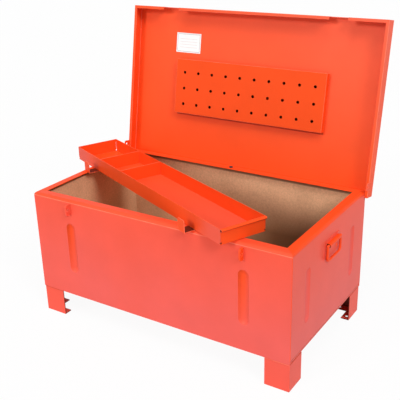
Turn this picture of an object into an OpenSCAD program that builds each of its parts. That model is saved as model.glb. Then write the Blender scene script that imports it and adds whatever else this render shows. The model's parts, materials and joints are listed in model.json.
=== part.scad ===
// Steel jobsite box on four angle legs, with its lid standing open and its loose tray laid across the rim.
// Millimetres. +X is the box's right, +Y its back and +Z up.
// The origin is on the floor, under the middle of the body.

/* [Body] */
// Width of the body across its front
body_w = 910; // [800:1:1200]
// Depth of the body from front to back
body_d = 515; // [470:1:650]
// Height of the body's panels
panel_h = 337; // [300:1:420]
// Thickness of the body's sheet steel
sheet = 2; // [1.5:0.1:2.5]
// Outside radius of the bend round the rim
rim_round = 10; // [6:0.5:14]
// Width of the flat flange inside the rim's bend
rim_flange = 20; // [14:0.5:28]
// Height of the floor pan's upright flanges
pan_flange = 30; // [22:1:45]
// Strip of the floor pan that shows below each side panel
pan_reveal = 12; // [6:0.5:18]

/* [Pressed grooves] */
// Width of a pressed groove
groove_w = 34; // [24:0.5:40]
// Depth of a pressed groove
groove_depth = 6; // [3:0.5:8]
// Length of a pressed groove
groove_h = 171; // [120:1:190]
// Lower end of a groove above the panels' lower edge
groove_low = 85; // [60:1:100]
// Distance from the body's end to the middle of a front groove
front_groove_inset = 145; // [110:1:200]
// Distance from the body's front or back to the middle of a side groove
side_groove_inset = 98; // [70:1:130]

/* [Legs] */
// Height of the legs
leg_h = 90; // [60:1:140]
// Width of a leg's front wall
leg_w = 78; // [60:1:100]
// Width of a leg's side wall
leg_d = 76; // [60:1:100]
// Thickness of a leg's steel
leg_t = 3; // [2:0.5:5]
// Width of the flange under each leg wall
leg_flange = 27; // [22:0.5:34]
// Diameter of the floor bolt holes
leg_hole_d = 11; // [7:0.5:13]
// Distance from a leg's corner to the bolt hole along its wall
leg_hole_along = 57; // [40:0.5:58]

/* [Lining] */
// Thickness of the hardboard lining
liner_t = 4; // [3:0.5:6]
// Clearance round the lining boards
liner_gap = 0.3; // [0.2:0.1:0.8]

/* [Lid] */
// Thickness of the lid's sheet steel
lid_sheet = 2; // [1.5:0.1:2.5]
// Gap between the body's panels and the lid's flanges
lid_gap = 9; // [8.5:0.5:11]
// Height of the lid's skin above the rim when it is shut
lid_rest = 4; // [4:0.5:8]
// Depth of the lid's front and side flanges
lid_flange = 42; // [36:0.5:50]
// Depth of the lid's rear flange
lid_rear_flange = 19; // [17:0.5:22]
// Width of the hem that is turned in along the flanges
lid_hem = 7.5; // [4:0.5:8]
// Angle from shut to the open stop
lid_open = 100; // [90:1:105]

/* [Padlock eyes] */
// Distance from the body's end to a padlock eye
eye_inset = 147; // [120:1:180]
// Thickness of an eye
eye_t = 5; // [4:0.5:8]
// Distance that an eye stands proud of the front
eye_proud = 18; // [16:0.5:24]
// Height of an eye
eye_h = 37; // [32:0.5:44]
// Top of an eye below the rim
eye_drop = 13; // [10:0.5:15]
// Diameter of the hole for the shackle
eye_hole_d = 11; // [7:0.5:12]
// Width of the slot in the lid that the eye passes through
slot_w = 62; // [40:0.5:80]

/* [Hinges] */
// Distance from the body's end to the middle of a hinge
hinge_inset = 160; // [100:1:220]
// Length of a hinge along its pin
hinge_w = 90; // [70:1:120]
// Outside diameter of the knuckles
knuckle_d = 10; // [9:0.5:12]
// Diameter of a hinge pin
hinge_pin_d = 5; // [4:0.5:6]
// Height of the body's hinge leaf
leaf_h = 46; // [40:1:60]
// Thickness of the hinge leaves
leaf_t = 2; // [1.5:0.1:2.5]

/* [Handles] */
// Width of a handle's back plate
handle_plate_w = 95; // [90:1:120]
// Height of a handle's back plate
handle_plate_h = 55; // [48:1:70]
// Top of the back plate below the rim
handle_drop = 52; // [48:1:80]
// Outside diameter of the barrel that carries the bail
barrel_d = 12; // [11:0.5:16]
// Length of the barrel
barrel_w = 78; // [60:1:84]
// Diameter of the bail's rod
bail_d = 8; // [6:0.5:9]
// Width of the bail between the middles of its arms
bail_w = 92; // [90:1:110]
// Drop of the bail from its pivot
bail_drop = 47; // [42:1:60]
// Radius of the bail's lower bends
bail_round = 12; // [9:0.5:16]

/* [Tool panel] */
// Width of the perforated panel in the lid
tool_panel_w = 566; // [540:1:650]
// Height of the perforated panel up the open lid
tool_panel_h = 188; // [150:1:260]
// Distance that the perforated panel stands off the lid's skin
tool_panel_proud = 20; // [12:0.5:26]
// Distance between the panel's holes
tool_hole_pitch = 55; // [30:1:56]
// Diameter of the panel's holes
tool_hole_d = 10; // [6:0.5:14]

/* [Tray] */
// Length of the tray
tray_l = 881; // [800:1:950]
// Width of the tray
tray_w = 150; // [120:1:200]
// Height of the tray's walls
tray_h = 46; // [36:1:60]
// Thickness of the tray's sheet steel
tray_sheet = 1.5; // [1:0.1:2]
// Places of the two dividers along the tray
tray_dividers = [174, 318];
// Turn of the tray across the box, as it lies
tray_turn = 24; // [15:0.5:32]
// Distance from the tray's end to the middle of a hook
hook_inset = 140; // [80:1:200]
// Width of a hook along the tray
hook_w = 35; // [25:1:50]
// Distance that a hook reaches out from the tray
hook_reach = 35; // [25:0.5:50]
// Height of a hook's upturned end
hook_h = 38; // [26:0.5:50]
// Thickness of a hook
hook_t = 2; // [1.5:0.1:3]

/* [Hidden] */
$fn = 48;

paint = [0.96, 0.22, 0.08];
board = [0.62, 0.42, 0.28];
zinc = [0.72, 0.73, 0.75];

// Overlap of cutting shapes past the faces that they cut
over = 1;
// Gap between a moving piece and its neighbour
run_gap = 0.3;
// Radial clearance of a pin in its bore
pin_fit = 0.05;
// Radial clearance of a rivet in its hole
rivet_fit = 0.1;

half_w = body_w / 2;
half_d = body_d / 2;
body_z = leg_h;
rim_z = leg_h + panel_h;
rim_in = rim_round + rim_flange;

// A groove is part of a cylinder pressed in from the front
groove_r = (groove_w * groove_w / 4 + groove_depth * groove_depth) / (2 * groove_depth);
// The lining stands clear of the backs of the grooves
liner_off = groove_depth + sheet + liner_gap;
liner_floor_z = body_z + sheet;
liner_wall_z = liner_floor_z + liner_t;
// The wall boards stop below the bend behind the rim
liner_under_bend = max(0, rim_round - liner_off + liner_gap);
liner_bend_h = sqrt(pow(rim_round - sheet, 2) - pow(liner_under_bend, 2));
liner_top_z = rim_z - rim_round + liner_bend_h - 2 * liner_gap;
liner_wall_h = liner_top_z - liner_wall_z;

// Shut lid
lid_under_z = rim_z + lid_rest;
lid_top_z = lid_under_z + lid_sheet;
lid_low_z = lid_top_z - lid_flange;
lid_half_w = half_w + lid_gap + lid_sheet;
lid_half_d = half_d + lid_gap + lid_sheet;

// The hinge axis lies behind the back panel, under the lid's rear flange
knuckle_r = knuckle_d / 2;
pivot_y = half_d + run_gap + knuckle_r;
pivot_z = lid_top_z - lid_rear_flange - run_gap - knuckle_r;
knuckle_end = hinge_w * 0.3;
lid_leaf_y = half_d + lid_gap - leaf_t;
// The open lid's rear edge comes down onto the stop under each hinge
edge_y = lid_half_d - pivot_y;
edge_z = lid_top_z - pivot_z;
stop_y = pivot_y + edge_y * cos(lid_open) + edge_z * sin(lid_open);
stop_z = pivot_z - edge_y * sin(lid_open) + edge_z * cos(lid_open);

rivet_r = 3;
rivet_head_r = 5.5;
rivet_head_h = 2;
rivet_tail_r = 4.5;
rivet_tail_h = 1.5;
leaf_rivet_x = hinge_w / 3;
leaf_rivet_z = pivot_z - leaf_h + 2 * rivet_head_r;
lid_rivet_z = (pivot_z + knuckle_r + lid_under_z) / 2;
lid_rivet_r = 2;
lid_rivet_head_r = 3.5;

eye_top_z = rim_z - eye_drop;
eye_round = eye_proud / 2;
slot_over = 4;
slot_h = eye_top_z - lid_low_z + slot_over;

handle_top_z = rim_z - handle_drop;
barrel_r = barrel_d / 2;
bail_r = bail_d / 2;
barrel_drop = 7;
handle_pivot_z = handle_top_z - barrel_r - barrel_drop;
handle_pivot_out = sheet + barrel_r;
handle_rivet_y = handle_plate_w / 3;
handle_rivet_up = 15;
handle_rivet_z = handle_top_z - handle_plate_h + handle_rivet_up;

// Inside of the shut lid, seen from above
tool_panel_y = -2;
tool_panel_sheet = 1.5;
tool_hole_margin = 25;
tool_hole_cols = 1 + floor((tool_panel_w - 2 * tool_hole_margin) / tool_hole_pitch);
tool_hole_rows = 1 + floor((tool_panel_h - 2 * tool_hole_margin) / tool_hole_pitch);
tool_hole_shift = 6;
label_size = [100, 67, 0.5];
label_left = 152;
label_up = 448;
label_corner = [label_left - half_w, pivot_y - label_up];
ear_w = 24;
ear_drop = 23;
ear_lap = 16;
ear_back = 20;
ear_round = 7;
ear_hole_r = 4;
buffer_x = -18;
buffer_r = 6;

// The tray lies on its hooks, across the left rim and the front rim
tray_z = rim_z + run_gap + hook_t;
tray_overhang = 82;
tray_rear_clear = 66;
tray_corner = [-half_w - tray_overhang, half_d - tray_rear_clear - tray_w * cos(tray_turn)];
hem_r = 4.5;
hem_bore_r = 3;
tray_slit = 1;
tray_relief_r = 2.5;
hook_lap = 12;
hook_round = 8;

// Steps

// Lays children along X: their flat X becomes depth into the body and their flat Y becomes height
module along_x(length) {
    rotate([90, 0, 90]) translate([0, 0, -length / 2]) linear_extrude(length) children();
}

// Sets a wall that is drawn at the front onto one of the four sides
module front_side() { translate([0, -half_d, 0]) children(); }
module rear_side() { translate([0, half_d, 0]) rotate([0, 0, 180]) children(); }
module right_side() { translate([half_w, 0, 0]) rotate([0, 0, 90]) children(); }
module left_side() { translate([-half_w, 0, 0]) rotate([0, 0, -90]) children(); }

// Swings the shut lid's pieces up to the open stop
module opened() {
    translate([0, pivot_y, pivot_z]) rotate([-lid_open, 0, 0]) translate([0, -pivot_y, -pivot_z]) children();
}

// Places the tray's pieces as the tray lies across the box
module laid() {
    translate([tray_corner[0], tray_corner[1], tray_z]) rotate([0, 0, -tray_turn]) children();
}

module groove_form(radius, x) {
    translate([x, groove_depth - groove_r, body_z + groove_low]) {
        translate([0, 0, groove_w / 2]) cylinder(h = groove_h - groove_w, r = radius);
        for (z = [groove_w / 2, groove_h - groove_w / 2]) translate([0, 0, z]) sphere(r = radius);
    }
}

// Section of a wall and its rim: depth into the body, then height
module wall_section(low_z) {
    bend_z = rim_z - rim_round;
    translate([0, low_z]) square([sheet, bend_z - low_z]);
    translate([rim_round, rim_z - sheet]) square([rim_flange, sheet]);
    intersection() {
        translate([rim_round, bend_z]) difference() {
            circle(r = rim_round);
            circle(r = rim_round - sheet);
        }
        translate([0, bend_z]) square(rim_round);
    }
}

// One wall of the body with mitred ends, its rim and its pressed grooves, drawn at the front
module wall(span, low_z, grooves) {
    end = span / 2;
    difference() {
        union() {
            intersection() {
                along_x(span) wall_section(low_z);
                linear_extrude(rim_z + over)
                    polygon([[-end, 0], [end, 0], [end - rim_in, rim_in], [rim_in - end, rim_in]]);
            }
            for (x = grooves) intersection() {
                groove_form(groove_r + sheet, x);
                translate([x - groove_w, sheet / 2, body_z])
                    cube([2 * groove_w, groove_r, panel_h - rim_round]);
            }
        }
        for (x = grooves) groove_form(groove_r, x);
        children();
    }
}

module rivet_hole(radius) {
    rotate([90, 0, 0]) cylinder(h = 40, r = radius + rivet_fit, center = true);
}

// A rivet through a stack of sheets, with its head at the front and its tail behind
module rivet(shank_r, head_r, stack) {
    rotate([-90, 0, 0]) {
        translate([0, 0, -rivet_head_h]) cylinder(h = rivet_head_h, r1 = head_r * 0.7, r2 = head_r);
        translate([0, 0, -over]) cylinder(h = stack + 2 * over, r = shank_r);
        translate([0, 0, stack]) cylinder(h = rivet_tail_h, r = min(rivet_tail_r, head_r));
    }
}

// Body

module front_panel() {
    x = half_w - front_groove_inset;
    color(paint) front_side() wall(body_w, body_z, [-x, x]);
}

module rear_panel() {
    color(paint) rear_side() wall(body_w, body_z, [])
        for (side = [-1, 1], x = [-1, 1])
            translate([side * (half_w - hinge_inset) + x * leaf_rivet_x, 0, leaf_rivet_z])
                rivet_hole(rivet_r);
}

module side_wall() {
    y = half_d - side_groove_inset;
    color(paint) wall(body_d, body_z + pan_reveal, [-y, y])
        for (x = [-1, 1]) translate([x * handle_rivet_y, 0, handle_rivet_z]) rivet_hole(rivet_r);
}

module left_side_panel() { left_side() side_wall(); }
module right_side_panel() { right_side() side_wall(); }

module floor_pan() {
    size = [body_w - 2 * sheet, body_d - 2 * sheet, pan_flange];
    color(paint) translate([-size[0] / 2, -size[1] / 2, body_z]) difference() {
        cube(size);
        translate([sheet, sheet, sheet]) cube([size[0] - 2 * sheet, size[1] - 2 * sheet, size[2]]);
    }
}

// Leg at the front left, with a flange under each wall
module leg() {
    hole_in = leg_flange / 2;
    color(paint) translate([-half_w + sheet, -half_d + sheet, 0]) difference() {
        union() {
            cube([leg_w, leg_t, leg_h]);
            cube([leg_t, leg_d, leg_h]);
            cube([leg_w, leg_flange, leg_t]);
            cube([leg_flange, leg_d, leg_t]);
        }
        for (hole = [[leg_hole_along, hole_in], [hole_in, leg_hole_along]])
            translate([hole[0], hole[1], -over]) cylinder(h = leg_t + 2 * over, d = leg_hole_d);
    }
}

module leg_front_left() { leg(); }
module leg_front_right() { mirror([1, 0, 0]) leg(); }
module leg_rear_left() { mirror([0, 1, 0]) leg(); }
module leg_rear_right() { mirror([1, 0, 0]) mirror([0, 1, 0]) leg(); }

// Lining

module liner_floor() {
    inset = 2 * sheet + liner_gap;
    size = [body_w - 2 * inset, body_d - 2 * inset, liner_t];
    color(board) translate([-size[0] / 2, -size[1] / 2, liner_floor_z]) cube(size);
}

// The front and rear boards run between the side boards
module liner_long() {
    length = body_w - 2 * (liner_off + liner_t + liner_gap);
    color(board) translate([-length / 2, liner_off, liner_wall_z]) cube([length, liner_t, liner_wall_h]);
}

module liner_short() {
    length = body_d - 2 * liner_off;
    color(board) translate([-length / 2, liner_off, liner_wall_z]) cube([length, liner_t, liner_wall_h]);
}

module liner_front() { front_side() liner_long(); }
module liner_rear() { rear_side() liner_long(); }
module liner_left() { left_side() liner_short(); }
module liner_right() { right_side() liner_short(); }

// Small pieces of the body

// Lug that stands out of the front, seen from the side: reach forward, then height
module eye_outline() {
    difference() {
        union() {
            square([eye_proud - eye_round, eye_h]);
            translate([0, eye_round]) square([eye_proud, eye_h - 2 * eye_round]);
            for (z = [eye_round, eye_h - eye_round])
                translate([eye_proud - eye_round, z]) circle(r = eye_round);
        }
        translate([eye_proud / 2 + 1, eye_h / 2]) circle(d = eye_hole_d);
    }
}

module padlock_eye(side) {
    color(paint) translate([side * (half_w - eye_inset), -half_d, eye_top_z - eye_h])
        rotate([0, 0, 180]) along_x(eye_t) eye_outline();
}

module padlock_eye_left() { padlock_eye(-1); }
module padlock_eye_right() { padlock_eye(1); }

module rim_buffer() {
    color([0.1, 0.1, 0.1]) translate([buffer_x, half_d - rim_round - buffer_r - over, rim_z])
        cylinder(h = lid_rest - run_gap, r = buffer_r);
}

// Handles, drawn at the front of a wall

module handle_plate() {
    size = [handle_plate_w, sheet, handle_plate_h];
    color(paint) difference() {
        union() {
            translate([-size[0] / 2, -sheet, handle_top_z - handle_plate_h]) cube(size);
            translate([-barrel_w / 2, -handle_pivot_out, handle_pivot_z - barrel_r])
                cube([barrel_w, handle_pivot_out - sheet / 2, barrel_d]);
            translate([-barrel_w / 2, -handle_pivot_out, handle_pivot_z]) rotate([0, 90, 0])
                cylinder(h = barrel_w, r = barrel_r);
        }
        translate([-barrel_w, -handle_pivot_out, handle_pivot_z]) rotate([0, 90, 0])
            cylinder(h = 2 * barrel_w, r = bail_r + pin_fit);
        for (x = [-1, 1]) translate([x * handle_rivet_y, 0, handle_rivet_z]) rivet_hole(rivet_r);
    }
}

module handle_bail() {
    pintle = bail_w / 2 - barrel_w / 6;
    straight = bail_w / 2 - bail_round;
    color(paint) translate([0, -handle_pivot_out, handle_pivot_z]) {
        for (side = [0, 1]) mirror([side, 0, 0]) {
            translate([bail_w / 2, 0, 0]) {
                sphere(r = bail_r);
                rotate([0, -90, 0]) cylinder(h = pintle, r = bail_r);
                translate([0, 0, bail_round - bail_drop]) cylinder(h = bail_drop - bail_round, r = bail_r);
            }
            translate([straight, 0, bail_round - bail_drop]) rotate([-90, 0, 0])
                rotate_extrude(angle = 90) translate([bail_round, 0]) circle(r = bail_r);
        }
        translate([-straight, 0, -bail_drop]) rotate([0, 90, 0]) cylinder(h = 2 * straight, r = bail_r);
    }
}

module handle_plate_left() { left_side() handle_plate(); }
module handle_plate_right() { right_side() handle_plate(); }
module handle_bail_left() { left_side() handle_bail(); }
module handle_bail_right() { right_side() handle_bail(); }

module handle_rivet_pair() {
    for (x = [-1, 1]) translate([x * handle_rivet_y, -sheet, handle_rivet_z])
        rivet(rivet_r, rivet_head_r, 2 * sheet);
}

module handle_rivets() {
    color(paint) {
        left_side() handle_rivet_pair();
        right_side() handle_rivet_pair();
    }
}

// Hinges

module knuckle(from_x, to_x) {
    translate([from_x, pivot_y, pivot_z]) rotate([0, 90, 0]) cylinder(h = to_x - from_x, r = knuckle_r);
}

module pin_bore() {
    translate([-hinge_w, pivot_y, pivot_z]) rotate([0, 90, 0])
        cylinder(h = 2 * hinge_w, r = hinge_pin_d / 2 + pin_fit);
}

module at_hinge(side) { translate([side * (half_w - hinge_inset), 0, 0]) children(); }

// The body's leaf has the two outer knuckles and a ledge below them that the open lid comes down on
module hinge_leaf(side) {
    inner = hinge_w / 2 - knuckle_end;
    ledge_w = 2 * (leaf_rivet_x - lid_rivet_head_r - over);
    ledge_z = stop_z - run_gap;
    color(paint) at_hinge(side) difference() {
        union() {
            translate([-hinge_w / 2, half_d, pivot_z - leaf_h]) cube([hinge_w, leaf_t, leaf_h]);
            translate([-ledge_w / 2, half_d, ledge_z - leaf_t])
                cube([ledge_w, stop_y - half_d + leaf_t, leaf_t]);
            knuckle(-hinge_w / 2, -inner);
            knuckle(inner, hinge_w / 2);
        }
        translate([-inner, half_d - over, pivot_z - knuckle_r - run_gap])
            cube([2 * inner, knuckle_d, knuckle_d + over]);
        pin_bore();
        for (x = [-1, 1]) translate([x * leaf_rivet_x, half_d, leaf_rivet_z]) rivet_hole(rivet_r);
    }
}

module hinge_leaf_left() { hinge_leaf(-1); }
module hinge_leaf_right() { hinge_leaf(1); }

module hinge_rivets() {
    color(paint) for (side = [-1, 1]) at_hinge(side) for (x = [-1, 1])
        translate([x * leaf_rivet_x, half_d + leaf_t, leaf_rivet_z]) rotate([0, 0, 180])
            rivet(rivet_r, rivet_head_r, leaf_t + sheet);
}

module hinge_pin(side) {
    head_h = 2;
    color(zinc) at_hinge(side) translate([-hinge_w / 2, pivot_y, pivot_z]) rotate([0, 90, 0]) {
        cylinder(h = hinge_w, d = hinge_pin_d);
        translate([0, 0, -head_h]) cylinder(h = head_h, r = knuckle_r - run_gap);
        translate([0, 0, hinge_w]) cylinder(h = head_h, r = knuckle_r - run_gap);
    }
}

module hinge_pin_left() { hinge_pin(-1); }
module hinge_pin_right() { hinge_pin(1); }

// The lid's leaf has the middle knuckle and lies inside the lid's rear flange
module lid_hinge_leaf(side) {
    inner = hinge_w / 2 - knuckle_end - run_gap;
    wide_z = pivot_z + knuckle_r + run_gap;
    color(paint) opened() at_hinge(side) difference() {
        union() {
            translate([-hinge_w / 2, lid_leaf_y, wide_z]) cube([hinge_w, leaf_t, lid_under_z - wide_z]);
            translate([-inner, lid_leaf_y, pivot_z]) cube([2 * inner, leaf_t, lid_under_z - pivot_z]);
            knuckle(-inner, inner);
        }
        pin_bore();
        for (x = [-1, 1]) translate([x * leaf_rivet_x, lid_half_d, lid_rivet_z]) rivet_hole(lid_rivet_r);
    }
}

module lid_hinge_leaf_left() { lid_hinge_leaf(-1); }
module lid_hinge_leaf_right() { lid_hinge_leaf(1); }

module lid_hinge_rivets() {
    color(paint) opened() for (side = [-1, 1]) at_hinge(side) for (x = [-1, 1])
        translate([x * leaf_rivet_x, lid_half_d, lid_rivet_z]) rotate([0, 0, 180])
            rivet(lid_rivet_r, lid_rivet_head_r, lid_sheet + leaf_t);
}

// Lid, drawn shut

module lid_slot(side) {
    translate([side * (half_w - eye_inset) - slot_w / 2, -lid_half_d - over, lid_low_z - over])
        cube([slot_w, lid_sheet + lid_hem + 2 * over, slot_h + over]);
}

module lid_shell() {
    depth = 2 * lid_half_d;
    side_in = lid_sheet + lid_hem;
    color(paint) opened() difference() {
        union() {
            translate([-lid_half_w, -lid_half_d, lid_under_z]) cube([2 * lid_half_w, depth, lid_sheet]);
            translate([-lid_half_w, -lid_half_d, lid_low_z]) cube([2 * lid_half_w, lid_sheet, lid_flange]);
            translate([-lid_half_w, -lid_half_d, lid_low_z]) cube([2 * lid_half_w, side_in, lid_sheet]);
            translate([-lid_half_w, lid_half_d - lid_sheet, lid_top_z - lid_rear_flange])
                cube([2 * lid_half_w, lid_sheet, lid_rear_flange]);
            for (side = [0, 1]) mirror([side, 0, 0]) translate([lid_half_w, -lid_half_d, lid_low_z]) {
                translate([-lid_sheet, 0, 0]) cube([lid_sheet, depth, lid_flange]);
                translate([-side_in, 0, 0]) cube([side_in, depth, lid_sheet]);
            }
        }
        lid_slot(-1);
        lid_slot(1);
        for (side = [-1, 1]) at_hinge(side) for (x = [-1, 1])
            translate([x * leaf_rivet_x, lid_half_d, lid_rivet_z]) rivet_hole(lid_rivet_r);
    }
}

module tool_panel() {
    size = [tool_panel_w, tool_panel_h, tool_panel_proud];
    wall = [tool_panel_sheet, tool_panel_sheet, 0];
    color(paint) opened() translate([0, tool_panel_y, lid_under_z - tool_panel_proud]) difference() {
        translate([-size[0] / 2, -size[1] / 2, 0]) difference() {
            cube(size);
            translate(wall + [0, 0, tool_panel_sheet]) cube(size - 2 * wall);
        }
        for (col = [0 : tool_hole_cols - 1], row = [0 : tool_hole_rows - 1])
            translate([(col - (tool_hole_cols - 1) / 2) * tool_hole_pitch,
                       (row - (tool_hole_rows - 1) / 2) * tool_hole_pitch + tool_hole_shift, -over])
                cylinder(h = tool_panel_sheet + 2 * over, d = tool_hole_d);
    }
}

module label_card() {
    color([0.95, 0.95, 0.94]) opened()
        translate([label_corner[0], label_corner[1], lid_under_z - label_size[2]]) cube(label_size);
}

// Ear that hangs below the lid's side flange near the back, seen from the side
module ear_outline() {
    difference() {
        union() {
            translate([0, ear_round]) square([ear_w, ear_drop + ear_lap - ear_round]);
            translate([ear_round, 0]) square([ear_w - 2 * ear_round, ear_round]);
            for (y = [ear_round, ear_w - ear_round]) translate([y, ear_round]) circle(r = ear_round);
        }
        translate([ear_w / 2, ear_drop / 2]) circle(r = ear_hole_r);
    }
}

module lid_ear(side) {
    color(paint) opened()
        translate([side * (lid_half_w + lid_sheet / 2), pivot_y - ear_back - ear_w, lid_low_z - ear_drop])
            along_x(lid_sheet) ear_outline();
}

module lid_ear_left() { lid_ear(-1); }
module lid_ear_right() { lid_ear(1); }

// Tray, drawn along X with its near left corner at the origin

// Slit between an end wall and a long wall, with a relief hole at its foot
module tray_corner_cut() {
    length = tray_sheet + 2 * over;
    foot_z = tray_sheet + tray_relief_r + over;
    top_z = tray_h - 2 * hem_r - over;
    translate([0, -tray_slit / 2, foot_z]) cube([length, tray_slit, top_z - foot_z]);
    translate([0, 0, foot_z]) rotate([0, 90, 0]) cylinder(h = length, r = tray_relief_r);
}

module tray_pan() {
    slit_in = tray_sheet + tray_slit / 2;
    color(paint) laid() {
        difference() {
            cube([tray_l, tray_w, tray_h]);
            translate([tray_sheet, tray_sheet, tray_sheet])
                cube([tray_l - 2 * tray_sheet, tray_w - 2 * tray_sheet, tray_h]);
            for (x = [-over, tray_l - tray_sheet - over], y = [slit_in, tray_w - slit_in])
                translate([x, y, 0]) tray_corner_cut();
        }
        translate([tray_l + hem_r - tray_sheet, 0, tray_h - hem_r]) rotate([-90, 0, 0]) difference() {
            cylinder(h = tray_w, r = hem_r);
            translate([0, 0, -over]) cylinder(h = tray_w + 2 * over, r = hem_bore_r);
        }
    }
}

module tray_divider(place) {
    color(paint) laid() translate([place, tray_sheet, tray_sheet])
        cube([tray_sheet, tray_w - 2 * tray_sheet, tray_h - tray_sheet]);
}

module tray_divider_left() { tray_divider(tray_dividers[0]); }
module tray_divider_right() { tray_divider(tray_dividers[1]); }

// Upturned end of a hook: along the tray, then height
module hook_end() {
    square([hook_w, hook_h - hook_round]);
    translate([hook_round, 0]) square([hook_w - 2 * hook_round, hook_h]);
    for (x = [hook_round, hook_w - hook_round]) translate([x, hook_h - hook_round]) circle(r = hook_round);
}

module tray_hook(place) {
    color(paint) laid() translate([place - hook_w / 2, -hook_reach, -hook_t]) {
        cube([hook_w, hook_reach + hook_lap, hook_t]);
        translate([0, hook_t, 0]) rotate([90, 0, 0]) linear_extrude(hook_t) hook_end();
    }
}

module tray_hook_left() { tray_hook(hook_inset); }
module tray_hook_right() { tray_hook(tray_l - hook_inset); }

// Nodes

front_panel();
rear_panel();
left_side_panel();
right_side_panel();
floor_pan();
leg_front_left();
leg_front_right();
leg_rear_left();
leg_rear_right();
liner_floor();
liner_front();
liner_rear();
liner_left();
liner_right();
padlock_eye_left();
padlock_eye_right();
rim_buffer();
handle_plate_left();
handle_plate_right();
handle_rivets();
handle_bail_left();
handle_bail_right();
hinge_leaf_left();
hinge_leaf_right();
hinge_rivets();
hinge_pin_left();
hinge_pin_right();
lid_shell();
lid_hinge_leaf_left();
lid_hinge_leaf_right();
lid_hinge_rivets();
tool_panel();
label_card();
lid_ear_left();
lid_ear_right();
tray_pan();
tray_divider_left();
tray_divider_right();
tray_hook_left();
tray_hook_right();
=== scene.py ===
"""Looks of a steel jobsite box: finishes, softened sheet edges, small fittings, light and camera.

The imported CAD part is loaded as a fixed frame, and every piece made here rides on one of its bodies.
Lengths are in metres. +X is the box's right, +Y its back and +Z up.
"""

from __future__ import annotations

import json
import logging
import math
from dataclasses import dataclass
from enum import Enum
from typing import Callable, Iterator

import bmesh
import bpy
from bmesh.types import BMEdge, BMesh, BMFace, BMLayerItem, BMLoop
from bpy.types import Material, Node, NodeOutputs, NodeSocket, NodeTree
from mathutils import Matrix, Vector

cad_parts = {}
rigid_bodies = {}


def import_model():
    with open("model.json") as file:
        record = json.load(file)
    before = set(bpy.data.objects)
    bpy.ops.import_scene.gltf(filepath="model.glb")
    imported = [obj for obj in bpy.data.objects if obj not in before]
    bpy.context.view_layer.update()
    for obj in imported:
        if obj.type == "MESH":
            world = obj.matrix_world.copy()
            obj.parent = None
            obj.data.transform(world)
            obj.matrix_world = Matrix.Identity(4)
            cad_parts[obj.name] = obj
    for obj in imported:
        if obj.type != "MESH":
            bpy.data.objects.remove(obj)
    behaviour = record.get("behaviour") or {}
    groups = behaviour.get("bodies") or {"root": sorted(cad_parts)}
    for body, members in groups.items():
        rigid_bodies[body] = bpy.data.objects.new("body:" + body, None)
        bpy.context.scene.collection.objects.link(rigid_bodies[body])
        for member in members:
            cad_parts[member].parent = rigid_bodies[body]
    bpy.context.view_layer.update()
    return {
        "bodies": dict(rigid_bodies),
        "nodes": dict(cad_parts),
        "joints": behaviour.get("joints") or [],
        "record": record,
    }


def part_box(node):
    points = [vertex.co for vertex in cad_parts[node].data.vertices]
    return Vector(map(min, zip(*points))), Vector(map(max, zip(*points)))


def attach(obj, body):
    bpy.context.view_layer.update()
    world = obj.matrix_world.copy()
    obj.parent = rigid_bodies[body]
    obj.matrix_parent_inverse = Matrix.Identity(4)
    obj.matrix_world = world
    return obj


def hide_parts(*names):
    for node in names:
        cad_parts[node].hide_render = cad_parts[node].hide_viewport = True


log = logging.getLogger("jobsite_box")

Colour = tuple[float, float, float]
Point = tuple[float, float, float]
Pair = tuple[float, float]
Names = tuple[str, ...]
EdgeTest = Callable[[BMEdge], bool]
FaceTest = Callable[[BMFace], bool]

# Side of the picture in pixels
PICTURE = 400
# Mesh attributes that the finishes read: a painted highlight mark, a mark that leaves out the painted sheen,
# a painted shade mark, and the card's map
EDGE = "edge"
NO_SHEEN = "no_painted_sheen"
SHADE_MARK = "crevice"
CARD_MAP = "card"
# Painted shade marks: full painted shade, and the painted black of a hole
FULL_SHADE = 1.0
HOLE = 2.0
HOLE_SHADE: Colour = (0.01, 0.003, 0.002)
WHITE: Colour = (1.0, 1.0, 1.0)
# Usual reach of a noise texture's values
NOISE: Pair = (0.3, 0.7)
# A mix node's share and two colours among its inputs, and its colour among its outputs
MIX_INPUTS = (0, 6, 7)
MIX_COLOUR = 2
# Slack for comparing places: in a cut, on one point, within a sheet, and within a bend
FINE = 1e-6
TINY = 1e-5
SMALL = 1e-4
NEAR = 1e-3
# A face looks a way when at least this much of its normal points along it
LOOKS = 0.9
# Angles in degrees: between faces taken as flat, at edges that are softened, and at edges that shade as sharp
FLAT = 0.6
BENT = 28.0
SHARP = 50.0
UP = Vector((0.0, 0.0, 1.0))
RIGHT = Vector((1.0, 0.0, 0.0))
FRONT = Vector((0.0, -1.0, 0.0))


class Slot(Enum):
    """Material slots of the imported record."""

    PAINT = "paint"
    HARDBOARD = "hardboard"
    ZINC = "zinc"
    CARD = "card"
    RUBBER = "rubber"


class Body(Enum):
    """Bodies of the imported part."""

    BASE = "base"
    LID = "lid"
    BAIL_LEFT = "bail_left"
    BAIL_RIGHT = "bail_right"
    TRAY = "tray"


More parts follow.
